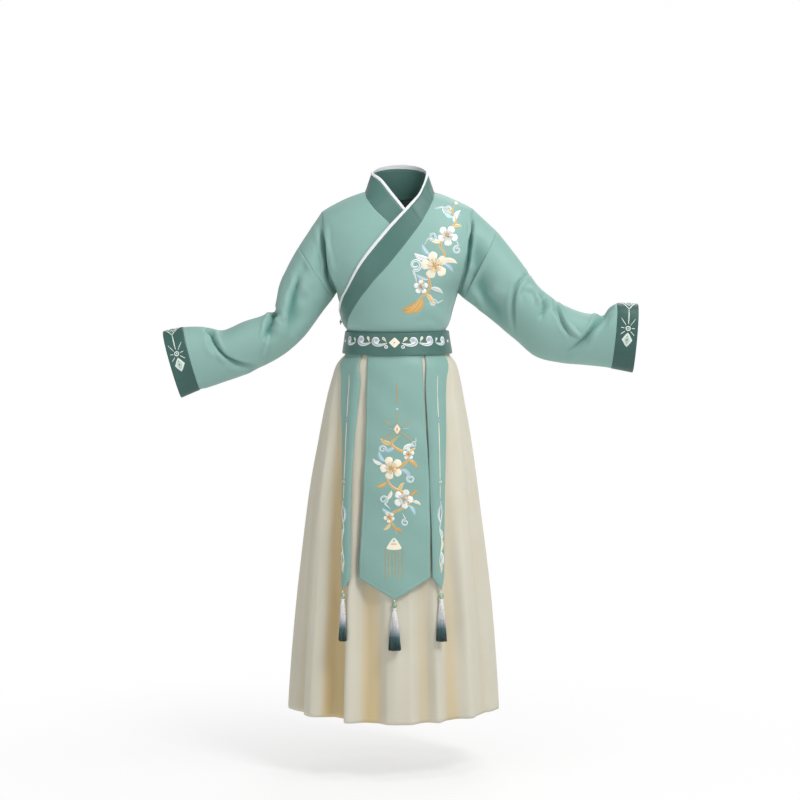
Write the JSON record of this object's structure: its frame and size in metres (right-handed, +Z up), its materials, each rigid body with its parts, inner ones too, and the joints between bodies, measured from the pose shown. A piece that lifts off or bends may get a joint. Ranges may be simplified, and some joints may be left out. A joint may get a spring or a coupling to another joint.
{
  "type": "child's hanfu with cross collar top and panelled skirt",
  "caption": "Child's hanfu in its worn shape: cross-collar top with banded sleeves, wide belt, pleated ankle skirt, and pointed front panels with beads and tassels.",
  "frame": {"origin": "between the wearer's shoulders, at the height of the shoulder line, where the garment hangs from its wearer", "axes": "+Z up, -Y towards the front, +X towards the wearer's left"},
  "size_m": [0.8444, 0.3281, 0.9878],
  "materials": {
    "mint_cloth": "matte satin weave, mint green",
    "green_satin": "satin band, deep jade green",
    "cream_cloth": "soft matte crepe, cream",
    "white_cloth": "white satin trim and cord",
    "jade_bead": "polished green bead",
    "tassel_thread": "silky thread dyed from white to dark teal"
  },
  "bodies": {
    "root": {"back": "mint_cloth", "front_left": "mint_cloth", "front_right": "mint_cloth", "sleeve_left": "mint_cloth", "sleeve_right": "mint_cloth", "cuff_left": "green_satin", "cuff_right": "green_satin", "collar": "green_satin", "collar_piping": "white_cloth", "belt": "green_satin", "waistband": "cream_cloth", "skirt_front": "cream_cloth", "skirt_back": "cream_cloth", "centre_panel": "mint_cloth", "side_panel_left": "mint_cloth", "side_panel_right": "mint_cloth", "tassel_cord_centre": "white_cloth", "tassel_cord_left": "white_cloth", "tassel_cord_right": "white_cloth", "bead_centre": "jade_bead", "bead_left": "jade_bead", "bead_right": "jade_bead", "tassel_centre": "tassel_thread", "tassel_left": "tassel_thread", "tassel_right": "tassel_thread", "side_button": "white_cloth", "side_loop": "green_satin"}
  },
  "joints": []
}
